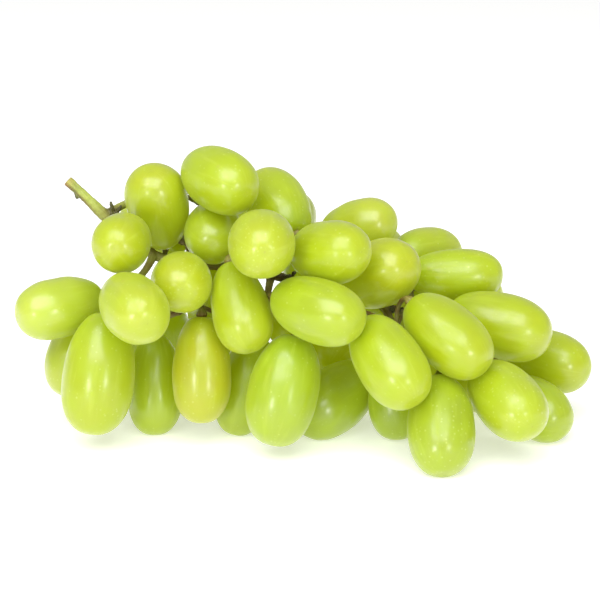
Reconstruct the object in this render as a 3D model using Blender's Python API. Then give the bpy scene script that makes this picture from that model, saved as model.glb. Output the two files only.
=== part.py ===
"""A bunch of long green table grapes, lying on its side.

Frame: +X runs along the bunch from the cut stalk to the tail, +Y to the far side, +Z up.
Z = 0 is the surface the bunch lies on, and the origin is the middle of its footprint.

The stem is one grown piece: stalk, rachis, side branches and pedicels. Each berry is a piece
of its own, seated on its pedicel. The layout below is in millimetres and degrees; Blender's
objects are in metres.
"""

import math

import bmesh
import bpy
import numpy as np
from mathutils import Vector

MM = 0.001

# Berries
BERRY_GAP = 0.6         # open space kept between two berries
BERRY_FULLNESS = 2.25   # 2 is an ellipse; more is fuller towards the ends
BERRY_SIDES = 12
BERRY_RINGS = 9
SEAT_RADIUS = 1.7       # the small flat where a berry meets its pedicel
CONTACT_DEPTH = 0.2     # how far a resting berry is pressed flat on the surface

# Stem
SEAT_GAP = 0.3          # between a berry and the flared end of its pedicel
PEDICEL_RADIUS = 0.65
FLARE = ((0.0, 1.5), (0.5, 1.45), (1.3, 0.85), (2.4, PEDICEL_RADIUS))  # (distance from berry, radius)
BRANCH_RADIUS = 0.95
BRANCH_TAPER = (1.15, 0.8)
STEM_CLEARANCE = 0.5    # between the stem and the side of any berry
PEDICEL_SIDES = 5
BRANCH_SIDES = 7
RACHIS_SIDES = 10
TUBE_STEP = 3.2         # distance between two rings of a tube
FLOOR_GAP = 0.3         # least height of a berry that doesn't rest on the surface

# Working out the layout
INNER_SPHERES = 11      # spheres along a berry that stand for its body
STUB_RADIUS = 1.6       # room kept free behind each berry for the start of its pedicel
STUB_REACH = 1.8
SETTLE_STEPS = 160
ROUTE_STEPS = 120
ROUTE_STEP = 1.8        # distance between two points of a route
PEDICEL_STRAIGHT = 1.4  # how far a pedicel runs before it may bend

SKIN_GREEN = (0.55, 0.62, 0.10, 1.0)
SKIN_GOLDEN = (0.60, 0.56, 0.11, 1.0)
STEM_GREEN = (0.42, 0.44, 0.12, 1.0)

# The stalk and rachis from the cut end to the tail: x, y, z, diameter.
RACHIS = (
    (-64, 4, 68, 2.8), (-59, 3, 63.5, 2.8), (-54, 3, 58.5, 3.5), (-50, 4, 55, 3.6),
    (-45, 5, 50, 2.9), (-38, 5, 45.5, 2.7), (-27, 5, 44, 2.6), (-17, 4, 43, 2.6),
    (-8, 3, 41.5, 2.6), (8, 1, 37.5, 2.5), (23, -2, 34, 2.3), (36, 1, 28.5, 2.1),
    (47, 3, 22, 1.8), (55, 2, 17, 1.5),
)

# Dry stubs of shed branches: base, tip, diameter. The first is on the stalk, the rest on its knuckle.
STUBS = (
    ((-62.3, 4, 66.3), (-61.4, 3.4, 63.2), 1.1),
    ((-51.8, 3.2, 58), (-52.0, 2.2, 62.3), 1.2),
    ((-51.0, 3.6, 58), (-49.3, 1.6, 61.6), 1.0),
    ((-4.5, 1.8, 40.7), (-2.6, -2.0, 42.6), 1.2),
    ((-3.0, 1.6, 40.3), (-1.4, -0.6, 43.2), 1.0),
    ((24.5, -1.8, 33.5), (25.6, -5.4, 33.0), 1.1),
)

# Side branches. Each leaves the rachis at the point nearest the first point of its path.
# Its berries are (x, y, z, heading, pitch, length, width, swell): the middle of the berry, the way
# its free end points, its size, and how much wider it is towards the free end.
BRANCHES = {
    "shoulder": {
        "path": ((-52, 3, 59), (-48, 7, 61), (-40, 11, 63), (-32, 8, 63)),
        "berries": (
            (-38, 0, 57, -105, 65, 26, 17, 0.14),
            (-43, -15, 57, -95, 5, 25, 15.5, 0.08),
            (-23, -8, 69, -55, -5, 27, 17, 0.08),
            (-29, -3, 56, -90, -5, 25, 15.5, 0.08),
            (-41, 25, 50, 125, 5, 27, 17, 0.08),
        ),
    },
    "crown": {
        "path": ((-8, 3, 41), (-6, -5, 46), (-6, -12, 50)),
        "berries": (
            (-6, 3, 61, 115, 25, 26, 16.5, 0.08),
            (-10, -29, 58, -85, 5, 28, 17.5, 0.08),
            (-17, -23, 41, -70, -50, 26, 15.5, 0.20),
            (6, -27, 51, -50, 10, 26, 16.5, 0.08),
        ),
    },
    "side": {
        "path": ((-40, 5, 46), (-43, -1, 43), (-48, -8, 40)),
        "berries": (
            (-42, -35, 43, -70, -5, 27, 17, 0.08),
            (-65, -13, 36, -150, -5, 25, 16, 0.08),
            (-61, -4, 22, -130, -55, 27, 16.5, 0.08),
            (-54, -24, 21, -120, -75, 33, 19.5, 0.10),
            (-57, 14, 19, 150, -20, 27, 16.5, 0.08),
        ),
    },
    "lower": {
        "path": ((-27, 5, 44), (-31, -2, 38), (-33, -5, 33)),
        "berries": (
            (-31, -20, 45, -85, 5, 26, 16, 0.08),
            (-40, -9, 14, -90, -75, 28, 15, 0.15),
            (-27, -21, 22, -90, -75, 29, 15.5, 0.12),
            (-23, 4, 30, 100, -10, 26, 16, 0.08),
            (-41, 21, 18, 110, -50, 28, 17, 0.08),
        ),
    },
    "far_shoulder": {
        "path": ((-17, 4, 43), (-16, 12, 39), (-16, 16, 35)),
        "berries": (
            (-20, 25, 50, 80, 10, 27, 17, 0.08),
            (-27, 30, 33, 80, 0, 27, 17, 0.08),
            (-20, 26, 12, 80, -45, 28, 17, 0.10),
            (-7, 22, 51, 70, 15, 27, 17, 0.08),
        ),
    },
    "front": {
        "path": ((-9, 3, 41), (-9, -6, 37), (-7, -12, 35)),
        "berries": (
            (-14, -10, 13, -135, -70, 28, 15.5, 0.08),
            (-4, -32, 20, -130, -70, 30, 19, 0.08),
            (5, -33, 43, -40, -5, 28, 17, 0.08),
            (-3, -4, 31, -90, -25, 21, 14, 0.08),
        ),
    },
    "middle": {
        "path": ((8, 1, 37), (10, 8, 41), (10, 13, 43)),
        "berries": (
            (16, 7, 54, -35, 20, 24, 15, 0.08),
            (22, -13, 41, -55, 25, 29, 18, 0.08),
            (4, 26, 37, 80, 0, 27, 17, 0.08),
            (20, 24, 41, 60, 5, 27, 16, 0.08),
        ),
    },
    "far_side": {
        "path": ((9, 1, 37), (12, 13, 33), (13, 19, 28)),
        "berries": (
            (8, 11, 21, -90, -20, 25, 16, 0.08),
            (3, 31, 12, 80, -45, 28, 17, 0.08),
            (27, 34, 20, 60, -20, 27, 17, 0.08),
            (23, 9, 27, 80, -30, 26, 16.5, 0.08),
        ),
    },
    "near_side": {
        "path": ((23, -2, 34), (25, -10, 32), (26, -16, 31)),
        "berries": (
            (36, -30, 34, -40, -30, 28, 17, 0.08),
            (25, -38, 30, -55, -35, 28, 17.5, 0.08),
            (26, -16, 9, -70, -75, 21, 15, 0.08),
            (10, -11, 10, -130, -15, 29, 18, 0.08),
        ),
    },
    "ridge": {
        "path": ((30, -1, 31), (31, 4, 36), (30, 5, 41)),
        "berries": (
            (36, 15, 44, 45, -10, 24, 14.5, 0.08),
            (43, 0, 42, 0, 0, 26, 14.5, 0.08),
            (54, -15, 32, -20, -10, 29, 17.5, 0.10),
            (46, 20, 30, 40, 0, 27, 16.5, 0.08),
            (38, 35, 33, 70, 0, 27, 16, 0.08),
        ),
    },
    "tail": {
        "path": ((47, 3, 22), (50, -6, 22), (49, -14, 22)),
        "berries": (
            (54, -36, 18, -65, -15, 28, 17.5, 0.08),
            (37, -41, 11, -90, -45, 28, 17.5, 0.08),
            (65, -13, 8, -55, -15, 24, 15.5, 0.08),
            (67, 3, 15, -45, -5, 27, 17, 0.08),
            (40, -11, 18, -80, -30, 24, 15, 0.08),
        ),
    },
    "far_tail": {
        "path": ((41, 2, 25), (41, 10, 20), (42, 14, 18)),
        "berries": (
            (33, 10, 11, 70, -40, 26, 16, 0.08),
            (50, 4, 10, 20, -30, 26, 16, 0.08),
            (60, 21, 14, 20, -20, 27, 16.5, 0.08),
            (44, 30, 10, 50, -30, 27, 16.5, 0.08),
        ),
    },
}

# Berries that carry the bunch on the surface.
RESTING = (
    "lower_berry_2", "front_berry_1", "near_side_berry_4", "tail_berry_2", "tail_berry_3",
    "far_shoulder_berry_3", "far_side_berry_2", "far_tail_berry_4",
)
GOLDEN = ("lower_berry_3", "middle_berry_2")


def direction(heading, pitch):
    """Unit vector: heading turns from +X towards +Y, pitch lifts it above the surface."""
    h, p = math.radians(heading), math.radians(pitch)
    return np.array((math.cos(p) * math.cos(h), math.cos(p) * math.sin(h), math.sin(p)))


class Berry:
    """One berry of the layout, in millimetres."""

    def __init__(self, name, branch, row):
        self.name = name
        self.branch = branch
        self.centre = np.array(row[:3], dtype=float)
        self.axis = direction(row[3], row[4])
        self.half_length = row[5] / 2
        self.half_width = row[6] / 2
        self.swell = row[7]
        self.rests = name in RESTING

    def outline(self, count):
        """Distance along the axis and radius, from the seat to the tip of the free end.

        A rounded-off ellipse whose radius grows by `swell` from the seat to the free end.
        """
        turn = np.linspace(0.0, math.pi, 400)
        power = 2 / BERRY_FULLNESS
        along = -np.sign(np.cos(turn)) * np.abs(np.cos(turn)) ** power
        radius = np.abs(np.sin(turn)) ** power * (1 + self.swell * along) / (1 + self.swell / 4)
        along, radius = along * self.half_length, radius * self.half_width
        first = np.interp(SEAT_RADIUS, radius[:200], turn[:200])
        stops = np.linspace(first, math.pi, count)
        return np.interp(stops, turn, along), np.interp(stops, turn, radius)

    def inner_spheres(self):
        """Centres, from the middle of the berry, and radii of spheres that just fit inside it."""
        along, radius = self.outline(120)
        reach = self.half_length - 0.35 * self.half_width
        places = np.linspace(-reach, reach, INNER_SPHERES)
        gaps = np.hypot(places[:, None] - along, radius)
        return places[:, None] * self.axis, gaps.min(axis=1)

    def seat(self):
        """Middle of the small flat at the stem end."""
        return self.centre + self.outline(2)[0][0] * self.axis


def lay_out():
    """All berries of the table, named by branch."""
    berries = []
    for branch, plan in BRANCHES.items():
        for number, row in enumerate(plan["berries"], start=1):
            berries.append(Berry(f"{branch}_berry_{number}", branch, row))
    return berries


def smooth_line(points, step):
    """Points of a Catmull-Rom curve through the given ones, about `step` apart."""
    points = np.array(points, dtype=float)
    padded = np.vstack((2 * points[0] - points[1], points, 2 * points[-1] - points[-2]))
    pieces = []
    for a, b, c, d in zip(padded, padded[1:], padded[2:], padded[3:]):
        count = max(2, round(float(np.linalg.norm((c - b)[:3])) / step))
        t = np.linspace(0, 1, count, endpoint=False)[:, None]
        pieces.append(b + 0.5 * t * (c - a + t * (2 * a - 5 * b + 4 * c - d + t * (3 * (b - c) + d - a))))
    pieces.append(points[-1:])
    return np.vstack(pieces)


def settle(berries, rachis):
    """Push the berries apart, a little at a time, until they touch neither each other nor the rachis.

    A resting berry is kept at the surface. The stub of each pedicel counts as part of its berry.
    """
    bodies = [berry.inner_spheres() for berry in berries]
    count = len(berries)
    stubs = np.array([-(berry.half_length + STUB_REACH) * berry.axis for berry in berries])
    offsets = np.concatenate((np.array([places for places, _ in bodies]), stubs[:, None]), axis=1)
    radii = np.array([np.append(sizes, STUB_RADIUS) for _, sizes in bodies])
    spheres = radii.shape[1]
    centres = np.array([berry.centre for berry in berries])
    resting = np.array([berry.rests for berry in berries])
    reach = radii.ravel()[:, None] + radii.ravel() + BERRY_GAP
    alone = np.eye(count, dtype=bool)
    row, column = np.indices((count, count))
    for _ in range(SETTLE_STEPS):
        points = centres[:, None] + offsets
        flat = points.reshape(-1, 3)
        apart = flat[:, None] - flat
        distance = np.linalg.norm(apart, axis=2) + 1e-9
        shape = (count, spheres, count, spheres)
        overlap = (reach - distance).reshape(shape).transpose(0, 2, 1, 3).reshape(count, count, -1)
        deepest = overlap.argmax(axis=2)
        amount = np.clip(overlap[row, column, deepest], 0, None)
        amount[alone] = 0
        away = (apart / distance[..., None]).reshape(shape + (3,)).transpose(0, 2, 1, 3, 4)
        away = away.reshape(count, count, -1, 3)[row, column, deepest]
        move = 0.45 * (amount[..., None] * away).sum(axis=1)

        body = points[:, :-1]
        apart = body[:, :, None] - rachis[:, :3]
        distance = np.linalg.norm(apart, axis=3)
        overlap = radii[:, :-1, None] + rachis[:, 3] / 2 + STEM_CLEARANCE - distance
        worst = overlap.reshape(count, -1).argmax(axis=1)
        amount = np.clip(overlap.reshape(count, -1)[np.arange(count), worst], 0, None)
        away = (apart / distance[..., None]).reshape(count, -1, 3)[np.arange(count), worst]
        move += 0.6 * amount[:, None] * away

        lowest = (body[..., 2] - radii[:, :-1]).min(axis=1)
        move[:, 2] += np.where(resting, -0.8 * lowest, np.clip(FLOOR_GAP - lowest, 0, None))
        centres += move
    for berry, centre in zip(berries, centres):
        berry.centre = centre


def bend_clear(guide, held, spheres, radius):
    """A stem's line along `guide`, bent clear of the berries. Its first `held` points and its last stay."""
    centres, sizes = spheres
    line = guide.copy()
    free = slice(held, -1)
    for step in range(ROUTE_STEPS):
        if step < ROUTE_STEPS - 15:
            middle = (line[held - 1:-2] + line[held + 1:]) / 2
            line[free] += 0.35 * (middle - line[free]) + 0.1 * (guide[free] - line[free])
        apart = line[free, None] - centres
        distance = np.linalg.norm(apart, axis=2)
        overlap = sizes + radius + STEM_CLEARANCE - distance
        worst = overlap.argmax(axis=1)
        pick = np.arange(len(worst))
        amount = np.clip(overlap[pick, worst], 0, None)
        line[free] += (amount / distance[pick, worst])[:, None] * apart[pick, worst]
    return line


def pedicel_line(start, leave, end, spheres):
    """A curve that leaves a berry straight along `leave` and bends over to `end`."""
    span = np.linalg.norm(end - start)
    count = max(7, round(span / ROUTE_STEP) + 4)
    t = np.linspace(0, 1, count)[:, None]
    guide = (1 - t) ** 2 * start + 2 * t * (1 - t) * (start + 0.45 * span * leave) + t ** 2 * end
    guide[1] = start + PEDICEL_STRAIGHT * leave
    return bend_clear(guide, 2, spheres, PEDICEL_RADIUS)


def resample(line, stops):
    """Points at the given distances along a line."""
    steps = np.linalg.norm(np.diff(line, axis=0), axis=1)
    run = np.concatenate(((0,), np.cumsum(steps)))
    return np.stack([np.interp(stops, run, line[:, i]) for i in range(line.shape[1])], axis=1)


def length(line):
    return float(np.linalg.norm(np.diff(line[:, :3], axis=0), axis=1).sum())


def add_tube(bm, points, radii, sides):
    """A closed tube through the points: one ring at each, turned to follow the line."""
    points = [Vector(p) for p in points]
    tangents = [(b - a).normalized() for a, b in zip([points[0]] + points[:-1], points[1:] + [points[-1]])]
    side = tangents[0].orthogonal().normalized()
    rings = []
    for point, tangent, radius in zip(points, tangents, radii):
        side = (side - side.dot(tangent) * tangent).normalized()
        up = tangent.cross(side)
        ring = []
        for i in range(sides):
            angle = 2 * math.pi * i / sides
            offset = math.cos(angle) * side + math.sin(angle) * up
            ring.append(bm.verts.new((point + float(radius) * offset) * MM))
        rings.append(ring)
    for low, high in zip(rings, rings[1:]):
        for i in range(sides):
            j = (i + 1) % sides
            bm.faces.new((low[i], low[j], high[j], high[i]))
    bm.faces.new(list(reversed(rings[0])))
    bm.faces.new(rings[-1])


def nearest(points, place):
    """Index of the one of `points` closest to a place."""
    return int(np.linalg.norm(points[:, :3] - place, axis=1).argmin())


def new_object(name, bm, material, parent):
    mesh = bpy.data.meshes.new(name)
    bmesh.ops.recalc_face_normals(bm, faces=bm.faces)
    bm.to_mesh(mesh)
    bm.free()
    item = bpy.data.objects.new(name, mesh)
    bpy.context.collection.objects.link(item)
    mesh.shade_smooth()
    if material:
        mesh.materials.append(material)
    item.parent = parent
    return item


def skin_material(name, colour, roughness):
    material = bpy.data.materials.new(name)
    material.use_nodes = True
    shader = material.node_tree.nodes["Principled BSDF"]
    shader.inputs["Base Color"].default_value = colour
    shader.inputs["Roughness"].default_value = roughness
    shader.inputs["Metallic"].default_value = 0.0
    return material


def build_berry(berry, parent):
    """Turn the outline about the berry's axis, and press a resting berry flat on the surface."""
    along, radius = berry.outline(BERRY_RINGS)
    bm = bmesh.new()
    profile = [bm.verts.new((0, 0, along[0] * MM))]
    profile += [bm.verts.new((r * MM, 0, a * MM)) for a, r in zip(along[:-1], radius[:-1])]
    profile.append(bm.verts.new((0, 0, berry.half_length * MM)))
    edges = [bm.edges.new(pair) for pair in zip(profile, profile[1:])]
    bmesh.ops.spin(bm, geom=profile + edges, cent=(0, 0, 0), axis=(0, 0, 1), dvec=(0, 0, 0),
                   angle=2 * math.pi, steps=BERRY_SIDES, use_merge=True)
    bmesh.ops.remove_doubles(bm, verts=bm.verts, dist=0.00001)

    turn = Vector(berry.axis).to_track_quat("Z", "Y")
    place = Vector(berry.centre) * MM
    if berry.rests:
        lowest = min((turn @ vert.co).z for vert in bm.verts)
        place.z = -lowest - CONTACT_DEPTH * MM
        back = turn.inverted()
        cut = bmesh.ops.bisect_plane(bm, geom=bm.verts[:] + bm.edges[:] + bm.faces[:], dist=1e-7,
                                     plane_co=back @ -place, plane_no=back @ Vector((0, 0, -1)),
                                     clear_outer=True)
        rim = [item for item in cut["geom_cut"] if isinstance(item, bmesh.types.BMEdge)]
        bmesh.ops.contextual_create(bm, geom=rim)
    colour = SKIN_GOLDEN if berry.name in GOLDEN else SKIN_GREEN
    item = new_object(berry.name, bm, skin_material(berry.name + "_skin", colour, 0.3), parent)
    item.rotation_mode = "QUATERNION"
    item.rotation_quaternion = turn
    item.location = place


def build_stem(berries, rachis, parent):
    """Rachis, with its branches, stubs and pedicels joined to it."""
    bodies = [berry.inner_spheres() for berry in berries]
    spheres = (np.vstack([berry.centre + places for berry, (places, _) in zip(berries, bodies)]),
               np.concatenate([sizes for _, sizes in bodies]))
    side_work = bmesh.new()
    joints = {}
    for branch, plan in BRANCHES.items():
        root = rachis[nearest(rachis, np.array(plan["path"][0])), :3]
        guide = smooth_line(np.vstack((root, plan["path"][1:])), ROUTE_STEP)
        line = bend_clear(guide, 1, spheres, BRANCH_RADIUS)
        joints[branch] = np.vstack((rachis[:, :3], line[2:]))
        rings = resample(line, np.linspace(0, length(line), round(length(line) / TUBE_STEP) + 2))
        add_tube(side_work, rings, np.linspace(*BRANCH_TAPER, len(rings)) * BRANCH_RADIUS, BRANCH_SIDES)
    for berry in berries:
        start = berry.seat() - SEAT_GAP * berry.axis
        free = joints[berry.branch]
        pick = nearest(free, start - 3 * berry.axis)
        line = pedicel_line(start, -berry.axis, free[pick], spheres)
        joints[berry.branch] = np.delete(free, pick, axis=0)  # two pedicels never share a joint
        total = length(line)
        rest = np.linspace(FLARE[-1][0], total, max(2, round((total - FLARE[-1][0]) / TUBE_STEP) + 1))
        stops = [distance for distance, _ in FLARE] + list(rest[1:])
        radii = [radius for _, radius in FLARE] + [PEDICEL_RADIUS] * (len(rest) - 1)
        add_tube(side_work, resample(line, stops), radii, PEDICEL_SIDES)
    for base, tip, diameter in STUBS:
        add_tube(side_work, (base, tip), (diameter / 2, diameter / 2.4), PEDICEL_SIDES)
    side_branches = new_object("side_branches", side_work, None, parent)
    side_branches.hide_render = True
    side_branches.display_type = "WIRE"

    rachis_work = bmesh.new()
    add_tube(rachis_work, rachis[:, :3], rachis[:, 3] / 2, RACHIS_SIDES)
    stem = new_object("stem", rachis_work, skin_material("stem_bark", STEM_GREEN, 0.6), parent)
    union = stem.modifiers.new("side_branches", "BOOLEAN")
    union.operation = "UNION"
    union.object = side_branches
    union.use_self = True


def main():
    for item in list(bpy.data.objects):
        bpy.data.objects.remove(item, do_unlink=True)
    bunch = bpy.data.objects.new("bunch", None)
    bpy.context.collection.objects.link(bunch)
    rachis = smooth_line(RACHIS, TUBE_STEP)
    berries = lay_out()
    settle(berries, rachis)
    for berry in berries:
        build_berry(berry, bunch)
    build_stem(berries, rachis, bunch)

    bpy.context.view_layer.update()
    corners = [item.matrix_world @ vert.co for item in bunch.children for vert in item.data.vertices]
    for axis in (0, 1):
        places = [corner[axis] for corner in corners]
        bunch.location[axis] = -(min(places) + max(places)) / 2


main()
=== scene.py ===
import math

import bpy
import numpy as np
from mathutils import Matrix


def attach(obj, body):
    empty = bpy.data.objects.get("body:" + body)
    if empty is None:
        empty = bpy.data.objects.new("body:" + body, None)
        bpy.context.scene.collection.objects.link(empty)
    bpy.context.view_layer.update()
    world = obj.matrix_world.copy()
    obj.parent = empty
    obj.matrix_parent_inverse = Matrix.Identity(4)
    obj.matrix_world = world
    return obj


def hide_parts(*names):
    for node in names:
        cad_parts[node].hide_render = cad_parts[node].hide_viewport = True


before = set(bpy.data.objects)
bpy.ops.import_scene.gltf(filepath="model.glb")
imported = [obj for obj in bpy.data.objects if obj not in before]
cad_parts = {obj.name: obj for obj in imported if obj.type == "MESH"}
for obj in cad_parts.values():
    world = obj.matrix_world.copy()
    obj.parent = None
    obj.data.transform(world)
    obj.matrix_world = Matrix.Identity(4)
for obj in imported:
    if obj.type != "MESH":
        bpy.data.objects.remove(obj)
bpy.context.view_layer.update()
mm = 0.001
print("frame loaded with", len(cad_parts), "nodes")


class Wire:
    # One output of a node. Arithmetic between wires, or with plain numbers, adds Math nodes.
    def __init__(self, finish, output):
        self.finish = finish
        self.output = output

    def calculate(self, operation, first, second):
        return self.finish.node("ShaderNodeMath", {"operation": operation}, {0: first, 1: second})

    def __add__(self, other):
        return self.calculate("ADD", self, other)

    def __radd__(self, other):
        return self.calculate("ADD", other, self)

    def __sub__(self, other):
        return self.calculate("SUBTRACT", self, other)

    def __rsub__(self, other):
        return self.calculate("SUBTRACT", other, self)

    def __mul__(self, other):
        return self.calculate("MULTIPLY", self, other)

    def __rmul__(self, other):
        return self.calculate("MULTIPLY", other, self)


class Finish:
    # A material under construction: every node comes from its one method.
    def __init__(self, name):
        self.material = bpy.data.materials.new(name)
        self.material.use_nodes = True
        self.tree = self.material.node_tree
        self.tree.nodes.clear()

    def node(self, kind, settings=None, values=None, output=0):
        item = self.tree.nodes.new(kind)
        for key, setting in (settings or {}).items():
            setattr(item, key, setting)
        for socket, value in (values or {}).items():
            if isinstance(value, Wire):
                self.tree.links.new(value.output, item.inputs[socket])
            else:
                item.inputs[socket].default_value = value
        return Wire(self, item.outputs[output] if len(item.outputs) else None)

    def attribute(self, name, output="Vector"):
        return self.node("ShaderNodeAttribute", {"attribute_name": name}, output=output)

    def place(self):
        return self.node("ShaderNodeTexCoord", output="Object")

    def axes(self, vector):
        return [self.node("ShaderNodeSeparateXYZ", None, {0: vector}, output=i) for i in range(3)]

    def noise(self, vector, scale, detail=2.0, roughness=0.5):
        values = {"Vector": vector, "Scale": scale, "Detail": detail, "Roughness": roughness}
        return self.node("ShaderNodeTexNoise", None, values, output="Fac")

    def spots(self, vector, scale, output="Distance"):
        values = {"Vector": vector, "Scale": scale}
        return self.node("ShaderNodeTexVoronoi", None, values, output=output)

    def between(self, value, low, high, start=0.0, end=1.0):
        # value carried smoothly from low..high to start..end, and held at both ends
        values = {"Value": value, "From Min": low, "From Max": high, "To Min": start, "To Max": end}
        return self.node("ShaderNodeMapRange", {"interpolation_type": "SMOOTHSTEP"}, values)

    def blend(self, factor, first, second, mode="MIX"):
        settings = {"data_type": "RGBA", "blend_type": mode}
        return self.node("ShaderNodeMix", settings, {0: factor, 6: first, 7: second}, output=2)

    def bump(self, height, strength, distance):
        values = {"Height": height, "Strength": strength, "Distance": distance}
        return self.node("ShaderNodeBump", None, values)

    def close(self, values):
        shader = self.node("ShaderNodeBsdfPrincipled", None, values)
        self.node("ShaderNodeOutputMaterial", None, {"Surface": shader})
        return self.material


def unit(vectors):
    return vectors / np.linalg.norm(vectors, axis=-1, keepdims=True)


def addObject(name, points, faces, material, attributes=None):
    mesh = bpy.data.meshes.new(name)
    mesh.from_pydata(points.tolist(), [], faces)
    mesh.update()
    mesh.shade_smooth()
    mesh.materials.append(material)
    for key, values in (attributes or {}).items():
        if values.shape[1] == 4:
            layer = mesh.attributes.new(key, "FLOAT_COLOR", "POINT")
            layer.data.foreach_set("color", values.astype(np.float32).ravel())
        else:
            layer = mesh.attributes.new(key, "FLOAT_VECTOR", "POINT")
            layer.data.foreach_set("vector", values.astype(np.float32).ravel())
    item = bpy.data.objects.new(name, mesh)
    bpy.context.scene.collection.objects.link(item)
    return item


def closedFaces(rows, columns):
    # Faces of a surface of rings, numbered ring by ring, between a first and a last single point.
    # Rings run counter-clockwise seen from the last point.
    ring = np.arange(columns)
    following = (ring + 1) % columns
    starts = 1 + columns * np.arange(rows - 1)[:, None]
    quads = np.stack((starts + ring, starts + following,
                      starts + columns + following, starts + columns + ring), axis=-1)
    last = 1 + columns * (rows - 1)
    first = np.stack((np.zeros(columns, dtype=int), 1 + following, 1 + ring), axis=-1)
    final = np.stack((np.full(columns, last + columns), last + ring, last + following), axis=-1)
    return quads.reshape(-1, 4).tolist() + first.tolist() + final.tolist()


berryForm = {
    "fullness": 2.25,          # 2 is an ellipse; more is fuller towards the ends
    "seatRadius": 1.7 * mm,    # the flat of the CAD berry at its pedicel
    "rings": 56,
    "columns": 64,
    "growth": 0.27 * mm,       # closes the gap that CAD leaves between two berries
    "pit": 0.75 * mm,          # depth of the hollow round the pedicel
    "pitRadius": 2.3 * mm,
    "bend": 0.035,             # how far a berry curves to one side, in half widths
    "oval": 0.02,              # how far it is from round
    "lumps": 0.07 * mm,        # low swellings of the skin
    "noseDip": 0.16 * mm,      # the shallow dip round the scar at the free end
    "seed": 11,
}


def nodeCorners(node):
    # Every corner of every triangle of a node, as triangles x 3 x 3.
    mesh = node.data
    mesh.calc_loop_triangles()
    points = np.empty(len(mesh.vertices) * 3)
    mesh.vertices.foreach_get("co", points)
    corners = np.empty(len(mesh.loop_triangles) * 3, dtype=np.int32)
    mesh.loop_triangles.foreach_get("vertices", corners)
    return points.reshape(-1, 3)[corners].reshape(-1, 3, 3)


def roundFlat(triangles, radius):
    # Middle and outward normal of the flat that is a disc of the given radius.
    across = np.cross(triangles[:, 1] - triangles[:, 0], triangles[:, 2] - triangles[:, 0])
    area = np.linalg.norm(across, axis=1) / 2
    facing = unit(across)
    reach = (triangles[:, 0] * facing).sum(axis=1)
    together = (facing @ facing.T > 0.9999) & (np.abs(reach[:, None] - reach) < 0.02 * mm)
    flats = np.unique(together[together.sum(axis=1) >= 8], axis=0)
    found = []
    for flat in flats:
        middle = (area[flat, None] * triangles[flat].mean(axis=1)).sum(axis=0) / area[flat].sum()
        spread = np.linalg.norm(triangles[flat].reshape(-1, 3) - middle, axis=1).max()
        across = math.sqrt(area[flat].sum() / 3)  # a regular twelve-sided disc covers 3 radius squared
        found.append((abs(spread - radius) + abs(across - radius), middle, facing[flat].mean(axis=0)))
    return min(found, key=lambda flat: flat[0])[1:]


def profile(x, form):
    # Radius at x (-1 stem end, 1 free end): an ellipse of higher power, wider towards the free end.
    n = berryForm["fullness"]
    swell = (1 + form["swell"] * x) / (1 + form["swell"] / 4)
    return form["halfWidth"] * swell * (1 - np.abs(x) ** n) ** (1 / n)


def measureBerry(name):
    # The stem end is the one round flat of the node. Gauss-Newton steps then fit the middle, half
    # length, half width and swell of the profile to the node's corners, away from the surface.
    triangles = nodeCorners(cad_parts[name])
    seat, facing = roundFlat(triangles, berryForm["seatRadius"])
    axis = -unit(facing)
    points = triangles.reshape(-1, 3)
    along = (points - seat) @ axis
    radius = np.linalg.norm(points - seat - along[:, None] * axis, axis=1)
    kept = (points[:, 2] > 0.05 * mm) & ((along > 0.1 * mm) | (radius > 1 * mm))
    along, radius = along[kept], radius[kept]
    n = berryForm["fullness"]

    def misfit(values):
        middle, halfLength, halfWidth, swell = values
        x = (along - middle) / halfLength
        wide = halfWidth * (1 + swell * x) / (1 + swell / 4)
        return np.abs(x) ** n + (radius / wide) ** n - 1

    values = np.array((along.max() / 2, along.max() / 2, radius.max(), 0.08))
    for _ in range(12):
        steps = np.array((1e-6, 1e-6, 1e-6, 1e-3))
        slopes = [(misfit(values + step) - misfit(values)) / step.sum() for step in np.diag(steps)]
        values = values - np.linalg.lstsq(np.array(slopes).T, misfit(values), rcond=None)[0]
    middle, halfLength, halfWidth, swell = values
    return {"name": name, "seat": seat, "axis": axis, "centre": seat + middle * axis,
            "halfLength": halfLength, "halfWidth": halfWidth, "swell": swell,
            "error": float(np.abs(misfit(values)).max())}


berryNames = sorted(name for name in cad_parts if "_berry_" in name)
berries = [measureBerry(name) for name in berryNames]
print("berries measured:", len(berries), "largest misfit", round(max(b["error"] for b in berries), 4))


skinLook = {
    "fresh": (0.262, 0.330, 0.003),    # the usual yellow-green
    "pale": (0.35, 0.41, 0.045),
    "paintedShadeGreen": (0.18, 0.28, 0.012),        # painted shade: a darker, greener tone for berries low in the bunch
    "golden": (0.31, 0.31, 0.010),     # a riper berry
    "variation": 0.06,                 # how far two berries differ
    "coatRoughness": 0.23,
    "glow": 0.0062,                    # how far light travels under the skin, in metres
    "paintedGlow": (0.58, 0.68, 0.0),        # colour of a painted glow: an even emission that stands in for light passing through a berry
    "paintedGlowStrength": 0.17,
    "haze": 0.05,                      # milky edge of the waxy skin
    "mottleScale": 170.0,              # noise and cell sizes, in repeats per metre
    "cloudScale": 420.0,
    "dotScale": 950.0,
    "bruiseScale": 210.0,
    "poreScale": 2600.0,
}
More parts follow.
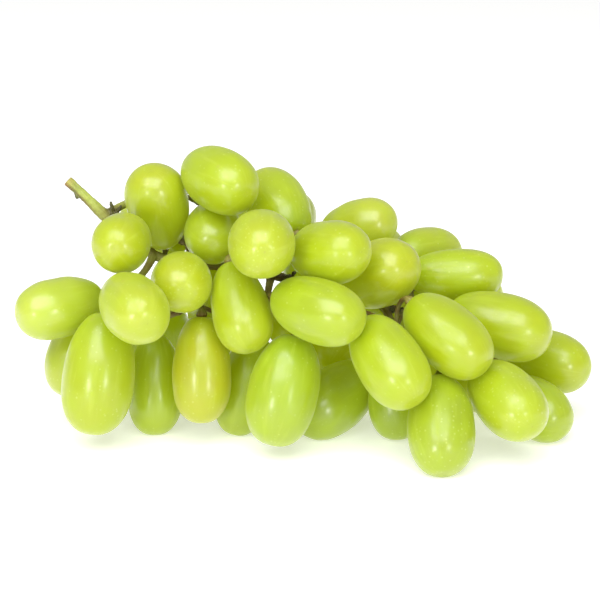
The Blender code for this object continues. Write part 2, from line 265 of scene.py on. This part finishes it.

# How far a berry is from the usual colour, where the darker green tone is painted shade: (which colour, how
# much, speckles).
berryTints = {
    "shoulder_berry_1": ("golden", 0.25, 0.1),
    "shoulder_berry_4": ("paintedShadeGreen", 0.35, 0.1),
    "crown_berry_2": ("pale", 0.10, 0.9),
    "crown_berry_3": ("paintedShadeGreen", 0.15, 0.2),
    "lower_berry_1": ("pale", 0.10, 0.9),
    "lower_berry_2": ("paintedShadeGreen", 0.35, 0.1),
    "lower_berry_3": ("golden", 1.0, 0.3),
    "front_berry_1": ("paintedShadeGreen", 0.55, 0.1),
    "front_berry_2": ("paintedShadeGreen", 0.50, 0.25),
    "front_berry_3": ("paintedShadeGreen", 0.20, 0.2),
    "middle_berry_1": ("pale", 0.35, 0.1),
    "middle_berry_2": ("golden", 0.15, 0.1),
    "near_side_berry_3": ("paintedShadeGreen", 0.8, 0.3),
    "near_side_berry_4": ("paintedShadeGreen", 0.8, 0.1),
    "ridge_berry_1": ("pale", 0.20, 0.1),
    "side_berry_1": ("pale", 0.20, 0.4),
    "side_berry_2": ("pale", 0.60, 0.2),
    "side_berry_3": ("pale", 0.40, 0.2),
    "tail_berry_1": ("pale", 0.10, 0.9),
    "tail_berry_2": ("paintedShadeGreen", 0.60, 0.7),
    "tail_berry_3": ("paintedShadeGreen", 0.40, 0.2),
    "tail_berry_4": ("fresh", 0.0, 0.2),
}


def skinFinish():
    skin = Finish("grape skin")
    grain = skin.attribute("skinGrain")
    free, stemEnd, speckled = skin.axes(skin.attribute("skinMarks"))
    colour = skin.attribute("skinColour", "Color")
    place = skin.place()

    veins = skin.between(skin.noise(grain, 1.0, 3.0, 0.6), 0.50, 0.72)
    mottle = skin.noise(place, skinLook["mottleScale"], 3.0)
    cloudy = skin.noise(place, skinLook["cloudScale"], 2.0)
    colour = skin.blend(veins * 0.14, colour, (0.50, 0.56, 0.12, 1))
    colour = skin.blend(skin.between(mottle, 0.35, 0.65) * 0.22, colour, (0.28, 0.40, 0.006, 1))

    # pale dots in the skin, many on a speckled berry
    cell = skin.spots(place, skinLook["dotScale"])
    dotLots = skin.spots(place, skinLook["dotScale"], "Color")
    lot = skin.node("ShaderNodeSeparateColor", None, {0: dotLots})
    chosen = skin.between(lot + speckled * 0.45, 0.84, 1.10)
    dots = (1 - skin.between(cell + cloudy * 0.2, 0.14, 0.50)) * chosen
    colour = skin.blend(dots * 0.26, colour, (0.60, 0.66, 0.24, 1))

    # a few russet marks
    bruise = skin.spots(place, skinLook["bruiseScale"])
    bruiseLots = skin.spots(place, skinLook["bruiseScale"], "Color")
    rare = skin.node("ShaderNodeSeparateColor", None, {0: bruiseLots})
    russet = (1 - skin.between(bruise + cloudy * 0.25, 0.14, 0.32)) * skin.between(rare, 0.93, 0.95)
    colour = skin.blend(russet * 0.35, colour, (0.30, 0.26, 0.04, 1))

    # the dry scar at the free end, and the ring round the pedicel
    scar = skin.between(free + (cloudy - 0.5) * 0.5, 0.62, 0.98)
    colour = skin.blend(scar * 0.42, colour, (0.24, 0.22, 0.04, 1))
    colour = skin.blend(stemEnd * 0.55, colour, (0.25, 0.29, 0.04, 1))

    bloom = skin.between(mottle * 0.6 + cloudy * 0.4, 0.42, 0.60)
    return skin.close({
        "Base Color": colour,
        "Roughness": 0.36 + bloom * 0.16 + veins * 0.08 + scar * 0.2,
        "IOR": 1.45,
        "Specular IOR Level": 0.50,
        "Subsurface Weight": 0.85,
        "Subsurface Radius": (1.0, 0.95, 0.15),
        "Subsurface Scale": skinLook["glow"],
        "Sheen Weight": skinLook["haze"],
        "Sheen Roughness": 0.45,
        # painted glow: the skin emits an even light that stands in for light passing through the berry
        "Emission Color": (*skinLook["paintedGlow"], 1),
        "Emission Strength": skinLook["paintedGlowStrength"],
        "Coat Weight": 0.78 - bloom * 0.30 - veins * 0.22,
        "Coat Roughness": skinLook["coatRoughness"],
        "Coat IOR": 1.45,
        "Normal": skin.bump(skin.noise(place, skinLook["poreScale"], 2.0), 0.05, 0.0001),
    })


def berrySurface(form, draw):
    # Rings over t from 0 (stem end) to pi (free end): along the axis -sgn(cos t)|cos t|^(2/n) half
    # lengths, radius (sin t)^(2/n) half widths times the swell. Low waves make it less than perfect.
    rings, columns = berryForm["rings"], berryForm["columns"]
    power = 2 / berryForm["fullness"]
    grow = berryForm["growth"]
    t = np.linspace(0, math.pi, rings + 2)[:, None]
    turn = np.linspace(0, 2 * math.pi, columns, endpoint=False)[None, :]
    x = -np.sign(np.cos(t)) * np.abs(np.cos(t)) ** power
    radius = np.abs(np.sin(t)) ** power * (1 + form["swell"] * x) / (1 + form["swell"] / 4)
    radius = radius * (form["halfWidth"] + grow)
    along = x * (form["halfLength"] + grow)

    phases = draw.uniform(0, 2 * math.pi, 6)
    strengths = draw.uniform(0.4, 1.0, 6)
    oval = berryForm["oval"] * strengths[0] * np.cos(2 * turn + phases[0])
    ridges = 0.35 * berryForm["oval"] * strengths[1] * np.cos(3 * turn + phases[1] + 1.5 * x)
    radius = radius * (1 + oval + ridges)
    pit = berryForm["pit"] * np.exp(-(radius / berryForm["pitRadius"]) ** 2) * (x < 0)
    dip = berryForm["noseDip"] * np.exp(-(radius / (1.3 * mm)) ** 2) * (x > 0)
    along = along + pit - dip

    axis = form["axis"]
    side = unit(np.cross(axis, (0.31, 0.52, 0.79)))
    up = np.cross(axis, side)
    bend = berryForm["bend"] * strengths[2] * form["halfWidth"] * (1 / 3 - x ** 2)
    sideways = radius * np.cos(turn) + bend * math.cos(phases[2])
    upwards = radius * np.sin(turn) + bend * math.sin(phases[2])
    along = along + 0 * turn
    grid = form["centre"] + along[..., None] * axis + sideways[..., None] * side + upwards[..., None] * up
    wave = np.sin(grid @ draw.normal(0, 420, 3) + phases[3])
    wave = wave + np.sin(grid @ draw.normal(0, 300, 3) + phases[4])
    out = unit(grid - form["centre"])
    grid = grid + (berryForm["lumps"] * wave * np.sin(t))[..., None] * out
    points = np.vstack((grid[0, :1], grid[1:-1].reshape(-1, 3), grid[-1, :1]))

    def flatten(values):
        values = values + 0 * turn
        return np.concatenate((values[0, :1], values[1:-1].ravel(), values[-1, :1]))

    details = {"x": flatten(x), "radius": flatten(radius), "turn": flatten(turn + 0 * t)}
    return points, details


def insideOthers(points, form):
    # How deep each point lies in the grown body of the neighbour that it is deepest in.
    depth = np.zeros(len(points))
    for other in berries:
        apart = np.linalg.norm(other["centre"] - form["centre"])
        if other is form or apart > other["halfLength"] + form["halfLength"] + 2 * mm:
            continue
        along = (points - other["centre"]) @ other["axis"]
        away = np.linalg.norm(points - other["centre"] - along[:, None] * other["axis"], axis=1)
        x = np.clip(along / (other["halfLength"] + berryForm["growth"]), -1, 1)
        wide = profile(x, other) * (1 + berryForm["growth"] / other["halfWidth"])
        depth = np.maximum(depth, wide - away)
    return depth


def vertexNormals(points, faces):
    # Area-weighted normals of a closed mesh of quads and triangles.
    quads = np.array([face for face in faces if len(face) == 4])
    thirds = np.array([face for face in faces if len(face) == 3])
    normals = np.zeros_like(points)
    for group in (quads, thirds):
        if len(group):
            corner, following, previous = points[group[:, 0]], points[group[:, 1]], points[group[:, -1]]
            across = np.cross(following - corner, previous - corner)
            for column in group.T:
                np.add.at(normals, column, across)
    return unit(normals)


def tintOf(name, draw):
    base = np.array(skinLook["fresh"])
    which, amount, speckles = berryTints.get(name, ("fresh", 0.0, draw.uniform(0.0, 0.5)))
    # The colour moves towards the chosen tone; the darker green tone is painted shade.
    base = base + amount * (np.array(skinLook[which]) - base)
    wobble = 1 + skinLook["variation"] * draw.uniform(-1, 1, 3) * (0.6, 0.4, 1.0)
    return base * wobble, speckles


def buildBerry(form, material, draw):
    points, details = berrySurface(form, draw)
    normals = vertexNormals(points, berryFaces)
    depth = insideOthers(points, form)
    points = points - 0.5 * np.clip(depth, 0, 1.2 * mm)[:, None] * normals
    points[:, 2] = np.maximum(points[:, 2], 0)

    x, radius, turn = details["x"], details["radius"], details["turn"]
    tint, speckles = tintOf(form["name"], draw)
    # painted glow: the free end is made paler, standing in for light passing through the berry; the stem end
    # is made darker and greener
    free = np.clip((x + 0.2) / 1.2, 0, 1) ** 1.5
    shoulder = np.clip((-x - 0.35) / 0.65, 0, 1)
    colour = np.ones((len(points), 4))
    colour[:, :3] = tint * (1 + free[:, None] * (0.12, 0.05, 0.8) - shoulder[:, None] * (0.14, 0.04, 0.0))
    start = draw.uniform(-50, 50, 3)
    grain = np.stack((5 * np.cos(turn), 5 * np.sin(turn), 1.3 * x), axis=1) + start
    nose = np.where(x > 0, np.exp(-(radius / (0.55 * mm)) ** 2), 0)
    stemEnd = np.where(x < 0, np.exp(-(radius / (2.0 * mm)) ** 4), 0)
    marks = np.stack((nose, stemEnd, np.full(len(points), speckles)), axis=1)
    item = addObject(form["name"] + "_fruit", points, berryFaces, material,
                     {"skinColour": colour, "skinGrain": grain, "skinMarks": marks})
    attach(item, "root")
    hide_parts(form["name"])
    "golden_skin" if berryTints.get(form["name"], ("",))[0] == "golden" else "green_skin"


berryFaces = closedFaces(berryForm["rings"], berryForm["columns"])
skinMaterial = skinFinish()
draw = np.random.default_rng(berryForm["seed"])
for form in berries:
    buildBerry(form, skinMaterial, draw)
print("berries built:", len(berries), "with", len(berryFaces), "faces each")


stemForm = {
    "voxel": 0.30 * mm,
    "pedicelRadius": 0.68 * mm,
    "branchRadius": 1.0 * mm,
    "clearance": 0.55 * mm,
    "sides": 14,
    "step": 0.6 * mm,
    # distance from the berry's flat and radius, from inside its pit out along the pedicel
    "receptacle": (
        (-0.30, 1.15), (0.10, 1.45), (0.55, 1.60), (1.0, 1.38), (1.6, 0.98), (2.6, 0.74), (3.6, 0.68),
    ),
}

# The stalk and rachis from the cut end to the tail: x, y, z, diameter in millimetres.
rachisRoute = (
    (-64, 4, 68, 2.9), (-59, 3, 63.5, 2.8), (-54, 3, 58.5, 3.5), (-50, 4, 55, 3.6),
    (-45, 5, 50, 2.9), (-38, 5, 45.5, 2.7), (-27, 5, 44, 2.6), (-17, 4, 43, 2.6),
    (-8, 3, 41.5, 2.6), (8, 1, 37.5, 2.5), (23, -2, 34, 2.3), (36, 1, 28.5, 2.1),
    (47, 3, 22, 1.8), (55, 2, 17, 1.5),
)

# Side branches, from the rachis outwards.
branchRoutes = {
    "shoulder": ((-52, 3, 59), (-48, 7, 61), (-40, 11, 63), (-32, 8, 63)),
    "crown": ((-8, 3, 41), (-6, -5, 46), (-6, -12, 50)),
    "side": ((-40, 5, 46), (-43, -1, 43), (-48, -8, 40)),
    "lower": ((-27, 5, 44), (-31, -2, 38), (-33, -5, 33)),
    "far_shoulder": ((-17, 4, 43), (-16, 12, 39), (-16, 16, 35)),
    "front": ((-9, 3, 41), (-9, -6, 37), (-7, -12, 35)),
    "middle": ((8, 1, 37), (10, 8, 41), (10, 13, 43)),
    "far_side": ((9, 1, 37), (12, 13, 33), (13, 19, 28)),
    "near_side": ((23, -2, 34), (25, -10, 32), (26, -16, 31)),
    "ridge": ((30, -1, 31), (31, 4, 36), (30, 5, 41)),
    "tail": ((47, 3, 22), (50, -6, 22), (49, -14, 22)),
    "far_tail": ((41, 2, 25), (41, 10, 20), (42, 14, 18)),
}

# Dry stubs of shed branches: base, tip and diameter. The last six sit in the gaps between berries and are
# partly dry fibrous bits, partly painted shade: near-black pieces that darken the gaps.
stubRoutes = (
    ((-62.3, 4, 66.3), (-61.4, 3.4, 63.2), 1.1),
    ((-51.8, 3.2, 58), (-52.0, 2.2, 62.3), 1.2),
    ((-51.0, 3.6, 58), (-49.3, 1.6, 61.6), 1.0),
    ((-4.5, 1.8, 40.7), (-2.6, -2.0, 42.6), 1.2),
    ((-3.0, 1.6, 40.3), (-1.4, -0.6, 43.2), 1.0),
    ((24.5, -1.8, 33.5), (25.6, -5.4, 33.0), 1.1),
    # partly painted shade: near-black stubs that darken the gaps between berries
    ((-8.0, 1.0, 42.0), (-10.5, -2.5, 43.8), 0.8),
    ((-6.0, 1.0, 42.2), (-5.2, -3.4, 43.6), 0.7),
    ((0.0, 1.0, 40.0), (1.6, -2.6, 42.2), 0.8),
    ((3.0, 1.0, 39.0), (4.4, -2.0, 41.6), 0.7),
    ((22.0, -3.0, 34.5), (21.0, -6.0, 36.2), 0.8),
    ((27.0, -3.0, 32.6), (28.4, -6.0, 34.6), 0.7),
)


def layoutShift():
    # From the layout to the frame: the middle of the stalk's cut end in the CAD less the route's
    # first point. The cut is square to the route, so its corners are the farthest ones along it.
    start, following = np.array(rachisRoute)[:2, :3] * mm
    corners = nodeCorners(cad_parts["stem"]).reshape(-1, 3)
    along = corners @ unit(start - following)
    cut = np.unique(corners[along > along.max() - 0.05 * mm].round(6), axis=0)
    middle = (cut.min(axis=0) + cut.max(axis=0)) / 2
    return np.array((middle[0] - start[0], middle[1] - start[1], 0))


shift = layoutShift()
print("layout shift in millimetres", (shift / mm).round(3))


def inFrame(points):
    return np.array(points, dtype=float) * mm + shift


def smoothLine(points, step):
    # Catmull-Rom curve through the points, with a new point every step.
    points = np.array(points, dtype=float)
    padded = np.vstack((2 * points[0] - points[1], points, 2 * points[-1] - points[-2]))
    stretches = []
    for a, b, c, d in zip(padded, padded[1:], padded[2:], padded[3:]):
        count = max(2, round(float(np.linalg.norm((c - b)[:3])) / step))
        t = np.linspace(0, 1, count, endpoint=False)[:, None]
        curve = 2 * a - 5 * b + 4 * c - d + t * (3 * (b - c) + d - a)
        stretches.append(b + 0.5 * t * (c - a + t * curve))
    return np.vstack(stretches + [points[-1:]])


def evenLine(line, step):
    # The same line with its points an even distance apart, and how far along it each one is.
    run = np.concatenate(((0,), np.cumsum(np.linalg.norm(np.diff(line[:, :3], axis=0), axis=1))))
    stops = np.linspace(0, run[-1], max(4, round(run[-1] / step)))
    return np.stack([np.interp(stops, run, line[:, i]) for i in range(line.shape[1])], axis=1), stops


def bendClear(guide, held, radius, balls):
    # A line along the guide, pushed out of the berries' balls; its first held points and its last stay.
    centres, sizes = balls
    line = guide.copy()
    free = slice(held, -1)
    for step in range(120):
        if step < 105:
            middle = (line[held - 1:-2] + line[held + 1:]) / 2
            line[free] += 0.35 * (middle - line[free]) + 0.1 * (guide[free] - line[free])
        apart = line[free, None] - centres
        distance = np.linalg.norm(apart, axis=2)
        overlap = sizes + radius + stemForm["clearance"] - distance
        worst = overlap.argmax(axis=1)
        pick = np.arange(len(worst))
        amount = np.clip(overlap[pick, worst], 0, None)
        line[free] += (amount / distance[pick, worst])[:, None] * apart[pick, worst]
    return line


def berryBalls():
    # Balls along each berry's axis that just fit inside it.
    centres = []
    sizes = []
    for form in berries:
        x = np.linspace(-1, 1, 121)
        reach = form["halfLength"] - 0.35 * form["halfWidth"]
        places = np.linspace(-reach, reach, 11)
        gaps = np.hypot(places[:, None] - x * form["halfLength"], profile(x, form))
        centres.append(form["centre"] + places[:, None] * form["axis"])
        sizes.append(gaps.min(axis=1))
    return np.vstack(centres), np.concatenate(sizes)


def sweepTube(line, radii, sides, lobes=0.0, twist=0.0):
    # Rings of the given radii along a line, each turned as little as possible from the last one;
    # lobes waves the outline so that it is ridged lengthwise.
    tangents = unit(np.gradient(line, axis=0))
    side = unit(np.cross(tangents[0], (0.2, 0.9, 0.35)))
    sideways = []
    for tangent in tangents:
        side = unit(side - (side @ tangent) * tangent)
        sideways.append(side)
    sideways = np.array(sideways)[:, None]
    upwards = np.cross(tangents[:, None], sideways)
    turn = np.linspace(0, 2 * math.pi, sides, endpoint=False)[None, :, None]
    ridged = 1 + lobes * np.cos(5 * turn + twist) + 0.5 * lobes * np.cos(3 * turn + 2 * twist)
    rings = line[:, None] + radii[:, None, None] * ridged * (np.cos(turn) * sideways + np.sin(turn) * upwards)
    points = np.vstack((line[:1], rings.reshape(-1, 3), line[-1:]))
    return points, closedFaces(len(line), sides)


def joinPieces(pieces):
    points = []
    faces = []
    count = 0
    for piecePoints, pieceFaces in pieces:
        points.append(piecePoints)
        faces += [[corner + count for corner in face] for face in pieceFaces]
        count += len(piecePoints)
    return np.vstack(points), faces


def layStem(draw):
    # Every line of the stem with its radius at each point: rachis, branches, pedicels and stubs.
    balls = berryBalls()
    step = stemForm["step"]
    rachis = smoothLine(rachisRoute, 3.2)
    rachis = np.hstack((inFrame(rachis[:, :3]), rachis[:, 3:] * mm / 2))
    even = evenLine(rachis, step)[0]
    lines = [("rachis", even[:, :3], even[:, 3])]
    joints = {}
    for branch, route in branchRoutes.items():
        route = inFrame(route)
        root = rachis[np.linalg.norm(rachis[:, :3] - route[0], axis=1).argmin(), :3]
        guide = smoothLine(np.vstack((root, route[1:])), 1.8 * mm)
        line = bendClear(guide, 1, stemForm["branchRadius"], balls)
        joints[branch] = np.vstack((rachis[:, :3], line[2:]))
        line, run = evenLine(line, step)
        swollen = 1 + 0.35 * np.exp(-run / (2.2 * mm)) + 0.25 * np.exp(-(run[-1] - run) / (1.2 * mm))
        lines.append((branch, line, stemForm["branchRadius"] * swollen * np.linspace(1.12, 0.82, len(line))))
    for form in berries:
        branch = form["name"].rsplit("_berry_", 1)[0]
        start = form["seat"] - 0.3 * mm * form["axis"]
        free = joints[branch]
        pick = np.linalg.norm(free - start + 3 * mm * form["axis"], axis=1).argmin()
        end = free[pick]
        joints[branch] = np.delete(free, pick, axis=0)
        span = np.linalg.norm(end - start)
        t = np.linspace(0, 1, max(7, round(span / (1.8 * mm)) + 4))[:, None]
        guide = (1 - t) ** 2 * start + 2 * t * (1 - t) * (start - 0.45 * span * form["axis"]) + t ** 2 * end
        guide[1] = start - 1.4 * mm * form["axis"]
        line = bendClear(guide, 2, stemForm["pedicelRadius"], balls)
        line = np.vstack((form["seat"] + 0.3 * mm * form["axis"], line))
        line, run = evenLine(smoothLine(line, 0.4 * mm), 0.35 * mm)
        stops, sizes = np.array(stemForm["receptacle"]).T
        radii = np.interp(run - 0.3 * mm, stops * mm, sizes * mm)
        radii *= 1 + 0.4 * np.exp(-(run[-1] - run) / (1.3 * mm)) * (run > 3 * mm)
        lines.append((form["name"], line, radii * (1 + 0.06 * draw.uniform(-1, 1))))
    for base, tip, diameter in stubRoutes:
        line = np.linspace(inFrame(base), inFrame(tip), 9)
        ragged = 1 + 0.25 * draw.uniform(-1, 1, 9)
        lines.append(("stub", line + draw.normal(0, 0.12 * mm, (9, 3)), diameter / 2 * mm * ragged))
    return lines


stemLines = layStem(draw)
print("stem laid out in", len(stemLines), "lines")

stemLook = {
    "green": (0.26, 0.27, 0.05),
    "lime": (0.34, 0.40, 0.06),
    "brown": (0.14, 0.062, 0.014),
    "dark": (0.012, 0.006, 0.002),
    "cut": (0.30, 0.16, 0.045),
}


def stemFinish():
    bark = Finish("grape stem")
    grain = bark.attribute("stemGrain")
    place = bark.place()
    colour = bark.attribute("stemColour", "Color")
    streaks = bark.noise(grain, 1.0, 3.0, 0.65)
    fine = bark.noise(place, 1900.0, 3.0, 0.6)
    colour = bark.blend(bark.between(streaks, 0.45, 0.75) * 0.26, colour, (0.46, 0.48, 0.14, 1))
    colour = bark.blend(bark.between(streaks, 0.50, 0.25) * 0.40, colour, (0.15, 0.15, 0.02, 1))
    warts = (1 - bark.between(bark.spots(place, 1300.0), 0.12, 0.34)) * bark.between(fine, 0.45, 0.6)
    colour = bark.blend(warts * 0.45, colour, (0.16, 0.10, 0.04, 1))
    height = streaks * 0.6 + fine * 0.25 + warts * 0.5
    return bark.close({
        "Base Color": colour,
        "Roughness": 0.62 - streaks * 0.12,
        "Subsurface Weight": 0.15,
        "Subsurface Radius": (1.0, 0.9, 0.3),
        "Subsurface Scale": 0.0008,
        "Normal": bark.bump(height, 0.35, 0.0002),
    })


def blended(item, voxel):
    # One closed skin over the item's overlapping tubes, with its forks rounded off.
    remesh = item.modifiers.new("one skin", "REMESH")
    remesh.mode = "VOXEL"
    remesh.voxel_size = voxel
    soften = item.modifiers.new("soften", "SMOOTH")
    soften.factor = 0.5
    soften.iterations = 3
    graph = bpy.context.evaluated_depsgraph_get()
    mesh = bpy.data.meshes.new_from_object(item.evaluated_get(graph))
    points = np.empty(len(mesh.vertices) * 3)
    mesh.vertices.foreach_get("co", points)
    faces = [list(polygon.vertices) for polygon in mesh.polygons]
    bpy.data.objects.remove(item)
    bpy.data.meshes.remove(mesh)
    return points.reshape(-1, 3), faces


def nearestOf(points, places):
    # Index of the place nearest to each point, and how far it is, worked out in blocks.
    picks = []
    gaps = []
    for block in np.array_split(points, 1 + len(points) // 4000):
        distance = np.linalg.norm(block[:, None] - places, axis=2)
        picks.append(distance.argmin(axis=1))
        gaps.append(distance.min(axis=1))
    return np.concatenate(picks), np.concatenate(gaps)


def fade(distance, reach):
    return np.exp(-(distance / reach) ** 2)


def buildStem(draw):
    stemMaterial = stemFinish()
    tubes = [sweepTube(line, radii, stemForm["sides"], 0.05 if name == "rachis" else 0.03, number)
             for number, (name, line, radii) in enumerate(stemLines)]
    points, faces = joinPieces(tubes)
    points, faces = blended(addObject("stem_tubes", points, faces, stemMaterial), stemForm["voxel"])

    centres = np.vstack([line for _, line, _ in stemLines])
    tangents = np.vstack([unit(np.gradient(line, axis=0)) for _, line, _ in stemLines])
    runs = np.concatenate([np.arange(len(line)) * stemForm["step"] for _, line, _ in stemLines])
    pick, gap = nearestOf(points, centres)
    out = unit(points - centres[pick] + 1e-9)
    tangent = tangents[pick]
    side = unit(np.cross(tangent, (0.2, 0.9, 0.35)))
    turn = np.arctan2((out * np.cross(tangent, side)).sum(axis=1), (out * side).sum(axis=1))
    grain = np.stack((3.2 * np.cos(turn), 3.2 * np.sin(turn), 160 * runs[pick]), axis=1)

    cutEnd = stemLines[0][1][0]
    knuckle = inFrame((-51.5, 3.4, 57.5))
    fromCut = np.linalg.norm(points - cutEnd, axis=1)
    below = np.clip(-out @ np.array((0.55, 0.0, 0.83)), 0, 1)
    stubs = np.vstack([line for name, line, _ in stemLines if name == "stub"])
    toStubAndShade = nearestOf(points, stubs)[1]
    seats = np.array([form["seat"] for form in berries])
    toSeat = nearestOf(points, seats)[1]
    patchy = 0.5 + 0.5 * np.sin(points @ draw.normal(0, 700, 3)) * np.sin(points @ draw.normal(0, 900, 3))

    look = {key: np.array(value) for key, value in stemLook.items()}
    colour = look["green"] + np.clip(1 - fromCut / (40 * mm), 0, 1)[:, None] * (look["lime"] - look["green"])
    brown = np.maximum.reduce((
        fade(np.linalg.norm(points - knuckle, axis=1), 4.2 * mm) * (0.45 + 0.55 * patchy),
        np.clip(1.6 * below, 0, 1) * fade(fromCut, 13 * mm),
        0.8 * fade(toSeat, 1.5 * mm) * patchy,
        (0.35 + 0.65 * patchy) * np.clip(fromCut / (30 * mm) - 0.4, 0, 1),
    ))
    colour = colour + brown[:, None] * (look["brown"] - colour)
    # near-black at the stubs; where they sit in the gaps between berries this is partly painted shade
    colour = colour + fade(toStubAndShade, 1.5 * mm)[:, None] * (look["dark"] - colour)
    colour = colour + fade(fromCut, 1.7 * mm)[:, None] * (look["cut"] - colour)
    colour = np.hstack((colour, np.ones((len(colour), 1))))

    rough = np.sin(points @ draw.normal(0, 2600, 3)) + np.sin(points @ draw.normal(0, 2100, 3))
    coarse = 0.03 + 0.05 * fade(toStubAndShade, 1.5 * mm) + 0.04 * fade(toSeat, 2 * mm)
    points = points + (rough * coarse * mm)[:, None] * out
    item = addObject("stem_wood", points, faces, stemMaterial, {"stemColour": colour, "stemGrain": grain})
    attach(item, "root")
    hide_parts("stem")
    return item


stem = buildStem(draw)
print("stem built with", len(stem.data.polygons), "faces")


studio = {
    "lookAt": shift + np.array((0, 0, 35)) * mm,
    "distance": 600 * mm,
    "elevation": 15,
    "lens": 129.6,
    "tableSize": 12.0,
    "airLight": 0.46,
    "tableLight": 0.44,            # the table is lit from within
    # kind, azimuth, elevation, distance, watts, width and height in metres
    "lamps": {
        "overhead panel": (-12, 50, 1.2, 20.0, 1.30, 1.00),
        "left lamp": (-27, 6, 1.1, 2.9, 0.17, 0.20),
        "right lamp": (25, 8, 1.1, 2.3, 0.17, 0.20),
    },
}


def buildTable():
    half = studio["tableSize"] / 2
    corners = np.array(((-half, -half, 0), (half, -half, 0), (half, half, 0), (-half, half, 0)))
    card = Finish("white table")
    material = card.close({"Base Color": (0.80, 0.80, 0.80, 1), "Roughness": 0.7, "Specular IOR Level": 0.2,
                           "Emission Color": (1, 1, 0.97, 1), "Emission Strength": studio["tableLight"]})
    table = addObject("table", corners, [[0, 1, 2, 3]], material)


def aim(item, place, target):
    # Puts an object at a place with its -Z towards the target and its +Y upwards.
    back = unit(np.array(place, dtype=float) - target)
    side = unit(np.cross((0, 0, 1), back))
    turn = np.eye(4)
    turn[:3, :3] = np.stack((side, np.cross(back, side), back), axis=1)
    turn[:3, 3] = place
    item.matrix_world = Matrix(turn.tolist())


def fromCentre(azimuth, elevation, distance):
    # A place seen from the bunch: azimuth 0 is the camera's side, 90 its right.
    a, e = math.radians(azimuth), math.radians(elevation)
    way = np.array((math.sin(a) * math.cos(e), -math.cos(a) * math.cos(e), math.sin(e)))
    return studio["lookAt"] + distance * way


def lightStudio():
    for name, (azimuth, elevation, distance, watts, width, height) in studio["lamps"].items():
        data = bpy.data.lights.new(name, "AREA")
        data.shape = "RECTANGLE"
        data.size = width
        data.size_y = height
        data.energy = watts
        lamp = bpy.data.objects.new(name, data)
        bpy.context.scene.collection.objects.link(lamp)
        aim(lamp, fromCentre(azimuth, elevation, distance), studio["lookAt"])
    world = bpy.data.worlds.new("studio air")
    world.use_nodes = True
    background = world.node_tree.nodes["Background"]
    background.inputs["Color"].default_value = (1, 1, 1, 1)
    background.inputs["Strength"].default_value = studio["airLight"]
    bpy.context.scene.world = world


def placeCamera():
    data = bpy.data.cameras.new("camera")
    data.lens = studio["lens"]
    data.sensor_width = 36
    data.clip_start = 0.01
    data.clip_end = 100
    camera = bpy.data.objects.new("camera", data)
    bpy.context.scene.collection.objects.link(camera)
    aim(camera, fromCentre(0, studio["elevation"], studio["distance"]), studio["lookAt"])
    bpy.context.scene.camera = camera


buildTable()
lightStudio()
placeCamera()
bpy.context.scene.view_settings.view_transform = "Standard"
print("table, lights and camera placed")
